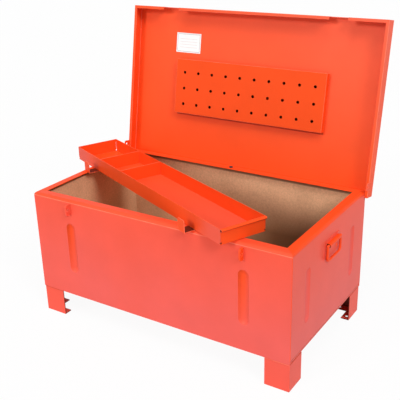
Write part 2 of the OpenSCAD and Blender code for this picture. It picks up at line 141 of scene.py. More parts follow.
class Graph:
    """Adds and joins the nodes of one shader tree."""

    def __init__(self, tree: NodeTree) -> None:
        """Empties the tree that the nodes go into, and keeps it."""
        tree.nodes.clear()
        self.tree = tree

    def feed(self, value: object, socket: NodeSocket) -> None:
        """Joins an output to an input, or sets the input.

        Args:
            value: An output, a number or a colour.
            socket: The input.
        """
        if isinstance(value, NodeSocket):
            self.tree.links.new(value, socket)
        else:
            socket.default_value = (*value, 1.0) if isinstance(value, tuple) else value

    def add(self, kind: str, **values: object) -> Node:
        """Adds a node.

        Args:
            kind: Blender's name for the node type.
            values: Node settings by attribute name, and inputs by socket name with _ for a space.

        Returns:
            The new node.
        """
        node = self.tree.nodes.new(kind)
        for name, value in values.items():
            socket = node.inputs.get(name.replace("_", " "))
            if socket is None:
                setattr(node, name, value)
            else:
                self.feed(value, socket)
        return node

    def math(self, operation: str, first: object, second: object = 0.0) -> NodeSocket:
        """Adds a Math node.

        Args:
            operation: The node's operation.
            first: An output or a number.
            second: An output or a number, where the operation takes two.

        Returns:
            The node's output.
        """
        node = self.add("ShaderNodeMath", operation=operation)
        for value, socket in zip((first, second), node.inputs):
            self.feed(value, socket)
        return node.outputs[0]

    def times(self, first: object, *others: object) -> NodeSocket:
        """Multiplies outputs and numbers.

        Args:
            first: An output or a number.
            others: At least one more.

        Returns:
            The product.
        """
        for other in others:
            first = self.math("MULTIPLY", first, other)
        return first

    def spread(self, value: NodeSocket, reach: Pair, ends: tuple[object, object]) -> NodeSocket:
        """Maps a range of values onto another, without going past its ends.

        Args:
            value: The value to map.
            reach: Values that give the first and the second end.
            ends: Outputs or numbers.

        Returns:
            The mapped value.
        """
        node = self.add("ShaderNodeMapRange", Value=value, From_Min=reach[0], From_Max=reach[1],
                        To_Min=ends[0], To_Max=ends[1])
        return node.outputs[0]

    def blend(self, share: object, first: object, second: object) -> NodeSocket:
        """Mixes two colours.

        Args:
            share: How much of the second colour shows, an output or a number.
            first: An output or a colour.
            second: An output or a colour.

        Returns:
            The mixed colour.
        """
        node = self.add("ShaderNodeMix", data_type="RGBA")
        for index, value in zip(MIX_INPUTS, (share, first, second)):
            self.feed(value, node.inputs[index])
        return node.outputs[MIX_COLOUR]

    def noise(self, place: NodeSocket, scale: object, detail: float, rough: float = 0.5) -> NodeSocket:
        """Adds a noise texture.

        Args:
            place: Coordinates.
            scale: An output or a number, in features to the metre.
            detail: Octaves.
            rough: Share of each finer octave.

        Returns:
            The noise value.
        """
        node = self.add("ShaderNodeTexNoise", Vector=place, Scale=scale, Detail=detail, Roughness=rough)
        return node.outputs[0]

    def place(self) -> NodeSocket:
        """Returns object coordinates."""
        return self.add("ShaderNodeTexCoord").outputs["Object"]

    def split(self, vector: NodeSocket) -> tuple[NodeSocket, ...]:
        """Returns a vector's three parts."""
        return tuple(self.add("ShaderNodeSeparateXYZ", Vector=vector).outputs)

    def mark(self, name: str) -> NodeSocket:
        """Returns a mesh attribute's value."""
        return self.add("ShaderNodeAttribute", attribute_name=name, attribute_type="GEOMETRY").outputs["Fac"]

    def effect(self, effect: Effect, **values: object) -> NodeOutputs:
        """Places a shared effect.

        Args:
            effect: The effect to place.
            values: Inputs by socket name, with _ for a space.

        Returns:
            The group node's outputs.
        """
        return self.add("ShaderNodeGroup", node_tree=effect.group(), **values).outputs

    def show(self, seen: NodeSocket, lit: Node, glow: Node, end: str) -> None:
        """Mixes two shaders and makes the mix the tree's surface.

        Args:
            seen: How much of the second shader shows.
            lit: The first shader.
            glow: The second shader.
            end: Blender's name for the output node.
        """
        mix = self.add("ShaderNodeMixShader")
        for value, socket in zip((seen, lit.outputs[0], glow.outputs[0]), mix.inputs):
            self.feed(value, socket)
        self.feed(mix.outputs[0], self.add(end).inputs["Surface"])


class Effect(Enum):
    """Shader groups that the finishes share."""

    MOTTLE = "mottle"
    PEEL = "orange_peel"
    EDGE = "edge_light"
    FIBRE = "fibres"
    CHALK = "chalk"
    GRIME = "grime"

    def group(self) -> NodeTree:
        """Returns the shader group, built on first use."""
        found = bpy.data.node_groups.get(self.value)
        if found is None:
            shop = EffectShop(self.value)
            getattr(shop, self.name.lower())()
            found = shop.tree
        return found


class EffectShop:
    """Builds one shader group, by the method that is named after it."""

    def __init__(self, name: str) -> None:
        """Starts an empty group with object coordinates at hand."""
        self.tree = bpy.data.node_groups.new(name, "ShaderNodeTree")
        self.graph = Graph(self.tree)
        self.place = self.graph.place()

    def sockets(self, inputs: Names, outputs: Names) -> tuple:
        """Makes the group's sockets: a colour where the name ends in Color, and else a number.

        Args:
            inputs: Names of the inputs.
            outputs: Names of the outputs.

        Returns:
            The input node's outputs and the output node's inputs.
        """
        for way, names in (("INPUT", inputs), ("OUTPUT", outputs)):
            for name in names:
                kind = "NodeSocketColor" if name.endswith("Color") else "NodeSocketFloat"
                self.tree.interface.new_socket(name, in_out=way, socket_type=kind)
        start = self.tree.nodes.new("NodeGroupInput")
        end = self.tree.nodes.new("NodeGroupOutput")
        return start.outputs, end.inputs

    def mottle(self) -> None:
        """Makes a colour a little lighter and darker in patches."""
        g = self.graph
        given, out = self.sockets(("Color", "Scale", "Amount"), ("Color",))
        patches = g.noise(self.place, given["Scale"], detail=3.0)
        ends = (g.math("SUBTRACT", 1.0, given["Amount"]), g.math("ADD", 1.0, given["Amount"]))
        level = g.spread(patches, NOISE, ends)
        scaled = g.add("ShaderNodeVectorMath", operation="SCALE", Vector=given["Color"], Scale=level)
        g.feed(scaled.outputs[0], out["Color"])

    def peel(self) -> None:
        """Gives the fine dimples of a coat and the slow waves of what it covers."""
        g = self.graph
        given, out = self.sockets(("Scale", "Wave"), ("Height", "Grain"))
        fine = g.noise(self.place, given["Scale"], detail=2.0, rough=0.55)
        slow = g.noise(self.place, scale=7.0, detail=1.0)
        g.feed(g.math("ADD", fine, g.times(slow, given["Wave"])), out["Height"])
        g.feed(fine, out["Grain"])

    def edge(self) -> None:
        """Mixes a colour towards an edge colour along softened edges: a painted highlight on paint, darker
        edges on board.
        """
        g = self.graph
        given, out = self.sockets(("Color", "Edge Color", "Amount"), ("Color",))
        broken = g.spread(g.noise(self.place, scale=28.0, detail=3.0), (0.3, 0.62), (0.45, 1.0))
        share = g.times(g.mark(EDGE), broken, given["Amount"])
        g.feed(g.blend(share, given["Color"], given["Edge Color"]), out["Color"])

    def chalk(self) -> None:
        """Paints a pale sheen over a colour in patches, most low down, and leaves it out where the mark asks.
        """
        g = self.graph
        given, out = self.sockets(("Color", "Chalk Color", "Amount"), ("Color", "Sheen Share"))
        sheen_share = g.math("SUBTRACT", 1.0, g.mark(NO_SHEEN))
        patches = g.spread(g.noise(self.place, scale=3.2, detail=3.0), NOISE, (0.8, 1.0))
        _, _, height = g.split(self.place)
        fall = g.spread(height, (0.15, 0.42), (1.0, 0.58))
        share = g.times(sheen_share, patches, fall, given["Amount"])
        g.feed(g.blend(share, given["Color"], given["Chalk Color"]), out["Color"])
        g.feed(sheen_share, out["Sheen Share"])

    def grime(self) -> None:
        """Paints shade: darkens a colour where the mark asks, and paints holes black."""
        g = self.graph
        given, out = self.sockets(("Color", "Dirt Color", "Amount"), ("Color",))
        mark = g.mark(SHADE_MARK)
        broken = g.spread(g.noise(self.place, scale=40.0, detail=3.0), (0.3, 0.6), (0.75, 1.0))
        share = g.times(mark, broken, given["Amount"])
        dirty = g.blend(share, given["Color"], given["Dirt Color"])
        hole = g.spread(mark, (FULL_SHADE, HOLE), (0.0, 1.0))
        g.feed(g.blend(hole, dirty, HOLE_SHADE), out["Color"])

    def fibre(self) -> None:
        """Gives the matted fibres and dark flecks of pressed board."""
        g = self.graph
        given, out = self.sockets(("Scale",), ("Tone", "Fleck", "Height"))
        fine = g.noise(self.place, given["Scale"], detail=4.0, rough=0.65)
        cloud = g.noise(self.place, scale=11.0, detail=3.0)
        flecks = g.noise(self.place, g.times(given["Scale"], 2.2), detail=1.0)
        g.feed(g.math("ADD", g.times(fine, 0.6), g.times(cloud, 0.4)), out["Tone"])
        g.feed(g.spread(flecks, (0.62, 0.72), (0.0, 1.0)), out["Fleck"])
        g.feed(fine, out["Height"])


@dataclass(frozen=True)
class Finish:
    """What every finish has.

    The roughness swings below and above its middle with the grain, and a bump has a strength and a depth.
    Patches have a scale and an amount, and grain is a scale; scales are in features to the metre.
    """

    name: str
    slot: Slot
    colour: Colour
    roughness: float
    gloss: float = 0.42
    metallic: float = 0.0
    swing: Pair = (0.06, 0.06)
    bump: Pair = (0.25, 0.0003)
    patches: Pair = (37.5, 0.06)
    grain: float = 300.0
    wave: float = 0.2

    def material(self) -> Material:
        """Returns the finish's material, built on first use."""
        return bpy.data.materials.get(self.name) or self._build()

    def _start(self) -> tuple[Material, Graph, Node]:
        """Starts a material.

        Returns:
            The material, its graph and its Principled node.
        """
        material = bpy.data.materials.new(self.name)
        material.use_nodes = True
        material.diffuse_color = (*self.colour, 1.0)
        g = Graph(material.node_tree)
        shader = g.add("ShaderNodeBsdfPrincipled", Base_Color=self.colour, Roughness=self.roughness,
                       Metallic=self.metallic, Specular_IOR_Level=self.gloss)
        g.feed(shader.outputs[0], g.add("ShaderNodeOutputMaterial").inputs["Surface"])
        return material, g, shader

    def _mottled(self, g: Graph, colour: object) -> NodeSocket:
        """Returns a colour, or an output's colour, in lighter and darker patches."""
        scale, amount = self.patches
        return g.effect(Effect.MOTTLE, Color=colour, Scale=scale, Amount=amount)["Color"]

    def _grained(self, g: Graph, shader: Node) -> None:
        """Gives the surface its dimples and waves."""
        peel = g.effect(Effect.PEEL, Scale=self.grain, Wave=self.wave)
        self._relief(g, shader, peel["Grain"], peel["Height"])

    def _relief(self, g: Graph, shader: Node, grain: NodeSocket, height: NodeSocket) -> None:
        """Varies the roughness with a grain, and turns a height into the normal.

        Args:
            g: The material's graph.
            shader: The Principled node.
            grain: The grain to use.
            height: The height to use.
        """
        less, more = self.swing
        ends = (self.roughness - less, self.roughness + more)
        g.feed(g.spread(grain, NOISE, ends), shader.inputs["Roughness"])
        strength, depth = self.bump
        bump = g.add("ShaderNodeBump", Strength=strength, Distance=depth, Height=height)
        g.feed(bump.outputs[0], shader.inputs["Normal"])

    def _build(self) -> Material:
        """Returns a new material with patches and grain; a finish that shows more has its own."""
        material, g, shader = self._start()
        g.feed(self._mottled(g, self.colour), shader.inputs["Base Color"])
        self._grained(g, shader)
        return material


@dataclass(frozen=True)
class PowderCoat(Finish):
    """Powder coat on sheet steel, with a painted pale sheen, painted highlights along edges, and painted
    shade in crevices and holes.
    """

    swing: Pair = (0.05, 0.05)
    bump: Pair = (0.35, 0.0006)
    patches: Pair = (9.0, 0.035)
    grain: float = 420.0
    wave: float = 2.0
    # A painted highlight along edges, a painted pale sheen, a real clear coat where the sheen is painted, and
    # painted shade
    edge_colour: Colour = (1.0, 0.3, 0.19)
    edge_amount: float = 0.6
    chalk_colour: Colour = (0.735, 0.104, 0.086)
    chalk: float = 0.0
    haze: float = 0.0
    dirt_colour: Colour = (0.4, 0.032, 0.004)
    dirt: float = 0.85

    def _build(self) -> Material:
        """Returns the material."""
        material, g, shader = self._start()
        chalk = g.effect(Effect.CHALK, Color=self.colour, Chalk_Color=self.chalk_colour, Amount=self.chalk)
        edge = g.effect(Effect.EDGE, Color=self._mottled(g, chalk["Color"]), Edge_Color=self.edge_colour,
                        Amount=self.edge_amount)
        grime = g.effect(Effect.GRIME, Color=edge["Color"], Dirt_Color=self.dirt_colour, Amount=self.dirt)
        g.feed(grime["Color"], shader.inputs["Base Color"])
        if self.haze > 0.0:
            g.feed(g.times(chalk["Sheen Share"], self.haze), shader.inputs["Coat Weight"])
            shader.inputs["Coat Roughness"].default_value = self.roughness
        self._grained(g, shader)
        return material


@dataclass(frozen=True)
class Hardboard(Finish):
    """Smooth face of pressed board, with matted fibres and dark flecks, painted shade low down and to the
    right, a painted shadow line under the rim, and darker softened edges.
    """

    swing: Pair = (0.08, 0.08)
    bump: Pair = (0.3, 0.0005)
    grain: float = 160.0
    dark: Colour = (0.3, 0.15, 0.075)
    tone_reach: Pair = (0.36, 0.64)
    tone_amount: float = 0.4
    fleck_amount: float = 0.3
    edge_amount: float = 0.6
    # Painted shade low down, more to the right, and a painted shadow line under the rim
    soil: Colour = (0.16, 0.062, 0.02)
    soil_heights: Pair = (0.215, 0.385)
    soil_amount: float = 0.95
    soil_across: Pair = (-0.15, 0.15)
    soil_left: float = 0.2
    rim_heights: Pair = (0.4075, 0.4115)
    rim_amount: float = 0.85

    def _build(self) -> Material:
        """Returns the material."""
        material, g, shader = self._start()
        fibre = g.effect(Effect.FIBRE, Scale=self.grain)
        tone = g.spread(fibre["Tone"], self.tone_reach, (self.tone_amount, 0.0))
        toned = g.blend(tone, self.colour, self.dark)
        flecked = g.blend(g.times(fibre["Fleck"], self.fleck_amount), toned, self.dark)
        across, _, height = g.split(g.place())
        # Painted shade low down and to the right, and a painted shadow line under the rim
        low_down = g.spread(height, self.soil_heights, (self.soil_amount, 0.0))
        to_right = g.spread(across, self.soil_across, (self.soil_left, 1.0))
        under_rim = g.spread(height, self.rim_heights, (0.0, self.rim_amount))
        share = g.math("MAXIMUM", g.times(low_down, to_right), under_rim)
        edge = g.effect(Effect.EDGE, Color=g.blend(share, flecked, self.soil), Edge_Color=self.dark,
                        Amount=self.edge_amount)
        g.feed(edge["Color"], shader.inputs["Base Color"])
        self._relief(g, shader, fibre["Tone"], fibre["Height"])
        return material


@dataclass(frozen=True)
class ZincPlate(Finish):
    """Bright zinc plating with cloudy patches."""

    metallic: float = 1.0
    swing: Pair = (0.08, 0.1)
    bump: Pair = (0.2, 0.0003)
    patches: Pair = (60.0, 0.14)
    grain: float = 700.0
    wave: float = 0.4


@dataclass(frozen=True)
class Rubber(Finish):
    """Dull rubber with a little grain."""


@dataclass(frozen=True)
class RuledCard(Finish):
    """White card with a thin grey frame and a few pale rules, drawn across its own UV map.

    Margins are shares of the card's width and height.
    """

    swing: Pair = (0.04, 0.04)
    bump: Pair = (0.15, 0.0002)
    patches: Pair = (110.0, 0.02)
    grain: float = 900.0
    wave: float = 0.3
    ink: Colour = (0.3, 0.31, 0.33)
    frame_outside: Pair = (0.035, 0.035)
    frame_inside: Pair = (0.0595, 0.077)
    frame_amount: float = 0.55
    rules: float = 7.0
    rule_from: float = 0.8
    rule_margins: Pair = (0.14, 0.2)
    rule_amount: float = 0.35

    def _build(self) -> Material:
        """Returns the material."""
        material, g, shader = self._start()
        across, up, _ = g.split(g.add("ShaderNodeUVMap", uv_map=CARD_MAP).outputs[0])
        outside, inside, ruled = (self._within(g, (across, up), margins) for margins in
                                  (self.frame_outside, self.frame_inside, self.rule_margins))
        frame = g.math("SUBTRACT", outside, inside)
        row = g.math("FRACT", g.times(up, self.rules))
        rule = g.times(g.math("GREATER_THAN", row, self.rule_from), ruled)
        share = g.math("ADD", g.times(frame, self.frame_amount), g.times(rule, self.rule_amount))
        g.feed(g.blend(share, self._mottled(g, self.colour), self.ink), shader.inputs["Base Color"])
        self._grained(g, shader)
        return material

    def _within(self, g: Graph, chart: tuple[NodeSocket, NodeSocket], margins: Pair) -> NodeSocket:
        """Returns 1 where the map is further than the margins from the card's edges, and 0 elsewhere.

        Args:
            g: The material's graph.
            chart: The map's two parts.
            margins: Margins at the sides and at the top and foot.

        Returns:
            The mask.
        """
        tests = []
        for value, margin in zip(chart, margins):
            tests.append(g.math("GREATER_THAN", value, margin))
            tests.append(g.math("LESS_THAN", value, 1.0 - margin))
        return g.times(*tests)


# Copies of one orange powder coat that differ by painted light: the first is the body's, with a painted pale
# sheen; the second leaves that sheen out; the lid's and tray's paint a pale sheen where their marks allow;
# the panel's is darker.
PAINT: Colour = (0.87, 0.068, 0.009)
SHEENED_PAINT = PowderCoat("powder_coat_with_painted_sheen", Slot.PAINT, PAINT, 0.42, 0.12, chalk=1.0, haze=0.05)
NO_SHEEN_PAINT = PowderCoat("powder_coat_without_painted_sheen", Slot.PAINT, PAINT, 0.5, 0.22)
LID_PAINT = PowderCoat("lid_powder_coat", Slot.PAINT, (0.87, 0.072, 0.006), 0.5, 0.2,
                       chalk_colour=(0.86, 0.15, 0.1), chalk=0.9)
TRAY_PAINT = PowderCoat("tray_powder_coat", Slot.PAINT, (0.88, 0.072, 0.008), 0.5, 0.2, chalk=1.0)
PANEL_PAINT = PowderCoat("panel_powder_coat", Slot.PAINT, (0.81, 0.069, 0.007), 0.55, 0.14)
HARDBOARD = Hardboard("lining_hardboard", Slot.HARDBOARD, (0.88, 0.495, 0.28), 0.66)
ZINC = ZincPlate("zinc_plate", Slot.ZINC, (0.55, 0.53, 0.55), 0.4)
CARD = RuledCard("white_card", Slot.CARD, (0.84, 0.84, 0.83), 0.5)
RUBBER = Rubber("black_rubber", Slot.RUBBER, (0.025, 0.025, 0.027), 0.7)

BY_SLOT: dict[str, Finish] = {f.slot.value: f for f in (SHEENED_PAINT, HARDBOARD, ZINC, CARD, RUBBER)}


def middle(edge: BMEdge) -> Vector:
    """Returns the middle of an edge."""
    return (edge.verts[0].co + edge.verts[1].co) / 2


def above(line: float) -> FaceTest:
    """Returns a test for the faces that lie wholly above a height."""
    return lambda f: min(v.co.z for v in f.verts) > line - TINY


def looks(face: BMFace, way: Vector) -> bool:
    """Tells whether a face looks a given way."""
    return face.normal.dot(way) > LOOKS


class Shape:
    """A mesh in the making, which starts from copies of CAD nodes and stands in for them."""

    def __init__(self, *nodes: str) -> None:
        """Starts from copies of CAD nodes, merged and with their flat faces joined."""
        self.nodes = nodes
        self.mesh: BMesh = bmesh.new()
        for node in nodes:
            self.mesh.from_mesh(bpy.data.objects[node].data)
        layers = self.mesh.loops.layers
        marks = (EDGE, NO_SHEEN, SHADE_MARK)
        for name in marks:
            layers.float.new(name)
        self.edge, self.shelter, self.crevice = (layers.float[name] for name in marks)
        for layer in list(layers.uv.values()):
            layers.uv.remove(layer)
        self.weld()
        for face in self.mesh.faces:
            face.material_index = 0
        bmesh.ops.dissolve_limit(self.mesh, angle_limit=math.radians(FLAT), use_dissolve_boundaries=False,
                                 verts=self.mesh.verts, edges=self.mesh.edges, delimit=set())

    def weld(self, reach: float = TINY) -> None:
        """Merges doubled vertices."""
        bmesh.ops.remove_doubles(self.mesh, verts=self.mesh.verts, dist=reach)

    def drop(self, test: FaceTest) -> None:
        """Deletes the faces that a test picks."""
        bmesh.ops.delete(self.mesh, geom=[f for f in self.mesh.faces if test(f)], context="FACES")

    def soften(self, width: float, test: EdgeTest | None = None, angle: float = BENT,
               segments: int = 2, highlighted: bool = True) -> None:
        """Rounds the sharp edges.

        Args:
            width: Width of the rounding.
            test: Picks among the sharp edges; all of them without it.
            angle: Least angle between the faces of a sharp edge, in degrees.
            segments: Faces across the rounding.
            highlighted: Whether the rounding gets a painted highlight, or is left out of the painted sheen
                for a deep colour.
        """
        limit = math.radians(angle)
        edges = [e for e in self.mesh.edges if e.is_manifold and e.calc_face_angle(0.0) > limit]
        if test is not None:
            edges = [e for e in edges if test(e)]
        made = bmesh.ops.bevel(self.mesh, geom=edges, offset=width, offset_type="OFFSET", affect="EDGES",
                               segments=segments, profile=0.5, material=-1, clamp_overlap=True)
        # A painted highlight along the rounding, or no painted sheen on it
        layer = self.edge if highlighted else self.shelter
        for face in made["faces"]:
            for loop in face.loops:
                loop[layer] = 1.0

    def cut(self, *places: float, along: Vector = UP, start: Point = (0.0, 0.0, 0.0)) -> None:
        """Cuts the mesh's faces along planes.

        Args:
            places: How far along a line each plane crosses it.
            along: The line's way, which the planes are square to; upward without it.
            start: The line's start; the origin without it.
        """
        bm = self.mesh
        for place in places:
            bmesh.ops.bisect_plane(bm, geom=[*bm.verts, *bm.edges, *bm.faces], dist=FINE,
                                   plane_co=Vector(start) + along * place, plane_no=along)

    def mark(self, layer: BMLayerItem, value: float, test: FaceTest | None = None) -> None:
        """Sets an attribute on the faces that a test picks, or on all of them."""
        for face in self.mesh.faces:
            if test is None or test(face):
                for loop in face.loops:
                    loop[layer] = value

    def shares(self) -> Iterator[tuple[BMLoop, float, float]]:
        """Goes through the mesh's loops.

        Returns:
            Each loop, with how far across and how far up its CAD node's box it is, from 0 to 1.
        """
        low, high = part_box(self.nodes[0])
        for loop in (loop for face in self.mesh.faces for loop in face.loops):
            at = loop.vert.co
            yield loop, (at.x - low[0]) / (high[0] - low[0]), (at.z - low[2]) / (high[2] - low[2])

    def place(self, body: Body, finish: Finish, name: str = "") -> None:
        """Finishes the mesh as a piece of the object.

        Args:
            body: The body that it rides on.
            finish: Its finish.
            name: Its name; one made from its CAD node's name without it.
        """
        name = name or f"{self.nodes[0]}_formed"
        mesh = bpy.data.meshes.new(name)
        self.mesh.to_mesh(mesh)
        self.mesh.free()
        mesh.shade_smooth()
        mesh.set_sharp_from_angle(angle=math.radians(SHARP))
        mesh.materials.clear()
        mesh.materials.append(finish.material())
        piece = bpy.data.objects.new(name, mesh)
        bpy.context.scene.collection.objects.link(piece)
        normals = piece.modifiers.new("weighted_normals", "WEIGHTED_NORMAL")
        normals.keep_sharp = True
        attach(piece, body.value)
        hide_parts(*self.nodes)
        log.info("%s on %s: %d faces", name, body.value, len(mesh.polygons))


@dataclass(frozen=True)
class Fitting:
    """CAD nodes that keep their shape and only get softened edges, with a painted highlight along them."""

    nodes: Names
    body: Body
    finish: Finish
    width: float
    segments: int = 2
    angle: float = BENT

    def build(self) -> None:
        """Builds one piece for each node."""
        for node in self.nodes:
            shape = Shape(node)
            shape.soften(self.width, angle=self.angle, segments=self.segments)
            shape.place(self.body, self.finish)


@dataclass
class Assembly:
    """A sub-assembly, with the fittings that it has beside its own pieces."""

    fittings: tuple[Fitting, ...] = ()

    def build(self) -> None:
        """Builds the fittings."""
        for fitting in self.fittings:
            fitting.build()


@dataclass
class Carcass(Assembly):
    """The body's walls with their rolled rim, the floor pan, the lining and the small fittings.

    Levels that leave out or add the painted pale sheen go into the sheen mark, and painted shade levels into
    the shade mark.
    """

    half_width: float = 0.455
    half_depth: float = 0.2575
    sheet: float = 0.002
    side_low: float = 0.102
    corner_round: float = 0.003
    corner_clear: float = 0.02
    edge_round: float = 0.0005
    edge_angle: float = 60.0
    pan_round: float = 0.003
    seam: float = 0.005
    rim_top: float = 0.427
    rim_round: float = 0.01
    rim_flange: float = 0.02
    rim_steps: int = 7
    # Shares of the rim left without the painted sheen, the front rim less so
    rim_fresh: float = 0.9
    front_rim_fresh: float = 0.5
    front_from: float = -0.2
    shoulder_round: float = 0.0014
    shoulder_angle: float = 20.0
    shoulder_heights: Pair = (0.122, 0.397)
    groove_depth: float = 0.006
    groove_slack: float = 0.0003
    groove_heights: Pair = (0.174, 0.347)
    groove_middle: float = 0.31
    groove_half: float = 0.017
    # Painted light in the grooves: sheen left out by height, painted sheen to the right, painted shade on the
    # left, and more painted sheen deeper in the end walls' grooves
    groove_fresh: Pair = (0.35, 1.0)
    groove_wear: float = 0.65
    groove_dirt: float = 0.75
    dirt_from: float = 0.15
    dirt_growth: float = 1.6
    end_groove_chalk: float = 0.4
    walls: Names = ("front_panel", "rear_panel", "left_side_panel", "right_side_panel")
    fittings: tuple[Fitting, ...] = (
        # The left eye gets the painted pale sheen and the right one is left without it
        Fitting(("padlock_eye_left",), Body.BASE, SHEENED_PAINT, 0.0008),
        Fitting(("padlock_eye_right",), Body.BASE, NO_SHEEN_PAINT, 0.0008),
        Fitting(("liner_floor", "liner_front", "liner_rear", "liner_left", "liner_right"),
                Body.BASE, HARDBOARD, 0.0006),
        Fitting(("rim_buffer",), Body.BASE, RUBBER, 0.0012, segments=3),
    )

    def build(self) -> None:
        """Builds every piece."""
        self.wall_ring()
        self.pan()
        super().build()

    @property
    def bend(self) -> float:
        """Returns the height where the rim's bend starts."""
        return self.rim_top - self.rim_round

    def wall_ring(self) -> None:
        """Joins the four walls at their welded corners, rolls the rim, softens corners and grooves, and
        paints light and shade on them.
        """
        shape = Shape(*self.walls)
        shape.cut(self.side_low)
        shape.drop(lambda f: max(v.co.z for v in f.verts) > self.bend + SMALL)
        shape.drop(self.is_mitre)
        shape.weld()
        self.roll_rim(shape)
        # Corners and groove shoulders are left without the painted sheen; all other edges get a painted
        # highlight
        shape.soften(self.corner_round, self.is_corner, segments=3, highlighted=False)
        shape.soften(self.shoulder_round, self.is_shoulder, self.shoulder_angle, segments=3, highlighted=False)
        shape.soften(self.edge_round, angle=self.edge_angle)
        # The rim is left mostly without the painted sheen, the front rim less so
        shape.mark(shape.shelter, self.rim_fresh, self.is_rim)
        shape.mark(shape.shelter, self.front_rim_fresh,
                   lambda f: self.is_rim(f) and f.calc_center_median().y < self.front_from)
        self.weather_grooves(shape)
        # A painted highlight along the start of the front rim's bend
        shape.mark(shape.edge, 1.0, self.is_rim_line)
        shape.place(Body.BASE, SHEENED_PAINT, "body_walls")

    def pan(self) -> None:
        """Rounds the floor pan's lower bends, leaving them without the painted sheen, and paints shade along
        the seam behind the side panels' lower edge.
        """
        shape = Shape("floor_pan")
        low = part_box("floor_pan")[0][2]
        line = self.side_low - self.seam
        shape.soften(self.pan_round, lambda e: all(abs(v.co.z - low) < TINY for v in e.verts), segments=4,
                     highlighted=False)
        shape.soften(self.edge_round, angle=self.edge_angle)
        shape.cut(line)
        # Painted shade line in the seam
        shape.mark(shape.crevice, FULL_SHADE, above(line))
        shape.place(Body.BASE, SHEENED_PAINT)

    def roll_rim(self, shape: Shape) -> None:
        """Carries the walls' outer edge round the bend, over the flange and back to their inner edge.

        Args:
            shape: The joined walls, open along the start of the bend.
        """
        bm = shape.mesh
        loop = [e for e in bm.edges if e.is_boundary and self.depth(middle(e)) < self.sheet / 2]
        for depth, height in self.rim_profile():
            made = bmesh.ops.extrude_edge_only(bm, edges=loop)["geom"]
            loop = [g for g in made if isinstance(g, BMEdge)]
            for vert in {v for e in loop for v in e.verts}:
                vert.co = (math.copysign(self.half_width - depth, vert.co.x),
                           math.copysign(self.half_depth - depth, vert.co.y), self.bend + height)
        shape.weld(SMALL)
        bmesh.ops.recalc_face_normals(bm, faces=bm.faces)

    def rim_profile(self) -> list[Pair]:
        """Returns depths into the body and heights above the bend, from the outside round to the inside."""
        inner = self.rim_round - self.sheet
        turns = [math.pi / 2 * n / self.rim_steps for n in range(1, self.rim_steps + 1)]
        outside = [(self.rim_round * (1 - math.cos(t)), self.rim_round * math.sin(t)) for t in turns]
        inside = [(self.rim_round - inner * math.cos(t), inner * math.sin(t)) for t in reversed(turns)]
        lip = self.rim_round + self.rim_flange
        return [*outside, (lip, self.rim_round), (lip, inner), *inside, (self.sheet, 0.0)]

    def weather_grooves(self, shape: Shape) -> None:
        """Paints light on the grooves: the long walls' grooves lose the painted sheen most at the top and
        less to the right, and get painted shade on the left; the others get more painted sheen deeper in.

        Args:
            shape: The walls.
        """
        foot, head = self.groove_heights
        low_sheen_free, high_sheen_free = self.groove_fresh
        for face in shape.mesh.faces:
            centre = face.calc_center_median()
            if not foot < centre.z < head or self.depth(centre) > self.groove_depth + self.groove_slack:
                continue
            on_end = self.half_depth - abs(centre.y) > self.corner_clear
            if not on_end and abs(abs(centre.x) - self.groove_middle) > self.groove_half + NEAR:
                continue
            for loop in face.loops:
                at = loop.vert.co
                if on_end:
                    loop[shape.shelter] = -self.end_groove_chalk * self.depth(at) / self.groove_depth
                    continue
                side = (at.x - math.copysign(self.groove_middle, at.x)) / self.groove_half
                fresh = low_sheen_free + (high_sheen_free - low_sheen_free) * (at.z - foot) / (head - foot)
                dirt = min(max(-side - self.dirt_from, 0.0) * self.dirt_growth, 1.0)
                loop[shape.shelter] = fresh * (1.0 - self.groove_wear * max(side, 0.0))
                loop[shape.crevice] = self.groove_dirt * fresh * dirt

    def depth(self, point: Vector) -> float:
        """Returns how far a point is inside the body's outer faces."""
        return min(self.half_width - abs(point.x), self.half_depth - abs(point.y))

    def on_mitre(self, point: Vector) -> bool:
        """Tells whether a point lies in the plane of a corner's mitre."""
        across = (self.half_width - abs(point.x)) - (self.half_depth - abs(point.y))
        return abs(across) < TINY

    def is_mitre(self, face: BMFace) -> bool:
        """Tells whether a face is hidden in a corner's mitre, above the side panels' lower edge."""
        return all(self.on_mitre(v.co) for v in face.verts) and face.calc_center_median().z > self.side_low

    def is_corner(self, edge: BMEdge) -> bool:
        """Tells whether an edge runs up one of the body's outer corners, or on round the bend."""
        return all(self.on_mitre(v.co) and self.depth(v.co) < self.rim_round for v in edge.verts)

    def is_rim(self, face: BMFace) -> bool:
        """Tells whether a face is above the start of the rim's bend."""
        return face.calc_center_median().z > self.bend

    def is_rim_line(self, face: BMFace) -> bool:
        """Tells whether a face is in the first strip of the front rim's bend."""
        at = face.calc_center_median()
        step = self.rim_round * math.sin(math.pi / 2 / self.rim_steps)
        return at.y < -self.half_depth + NEAR and self.bend < at.z < self.bend + step

    def is_shoulder(self, edge: BMEdge) -> bool:
        """Tells whether an edge is the shoulder of a pressed groove on the outside."""
        at = middle(edge)
        foot, head = self.shoulder_heights
        inset = max(self.half_width - abs(at.x), self.half_depth - abs(at.y))
        return inset > self.corner_clear and self.depth(at) < SMALL and foot < at.z < head


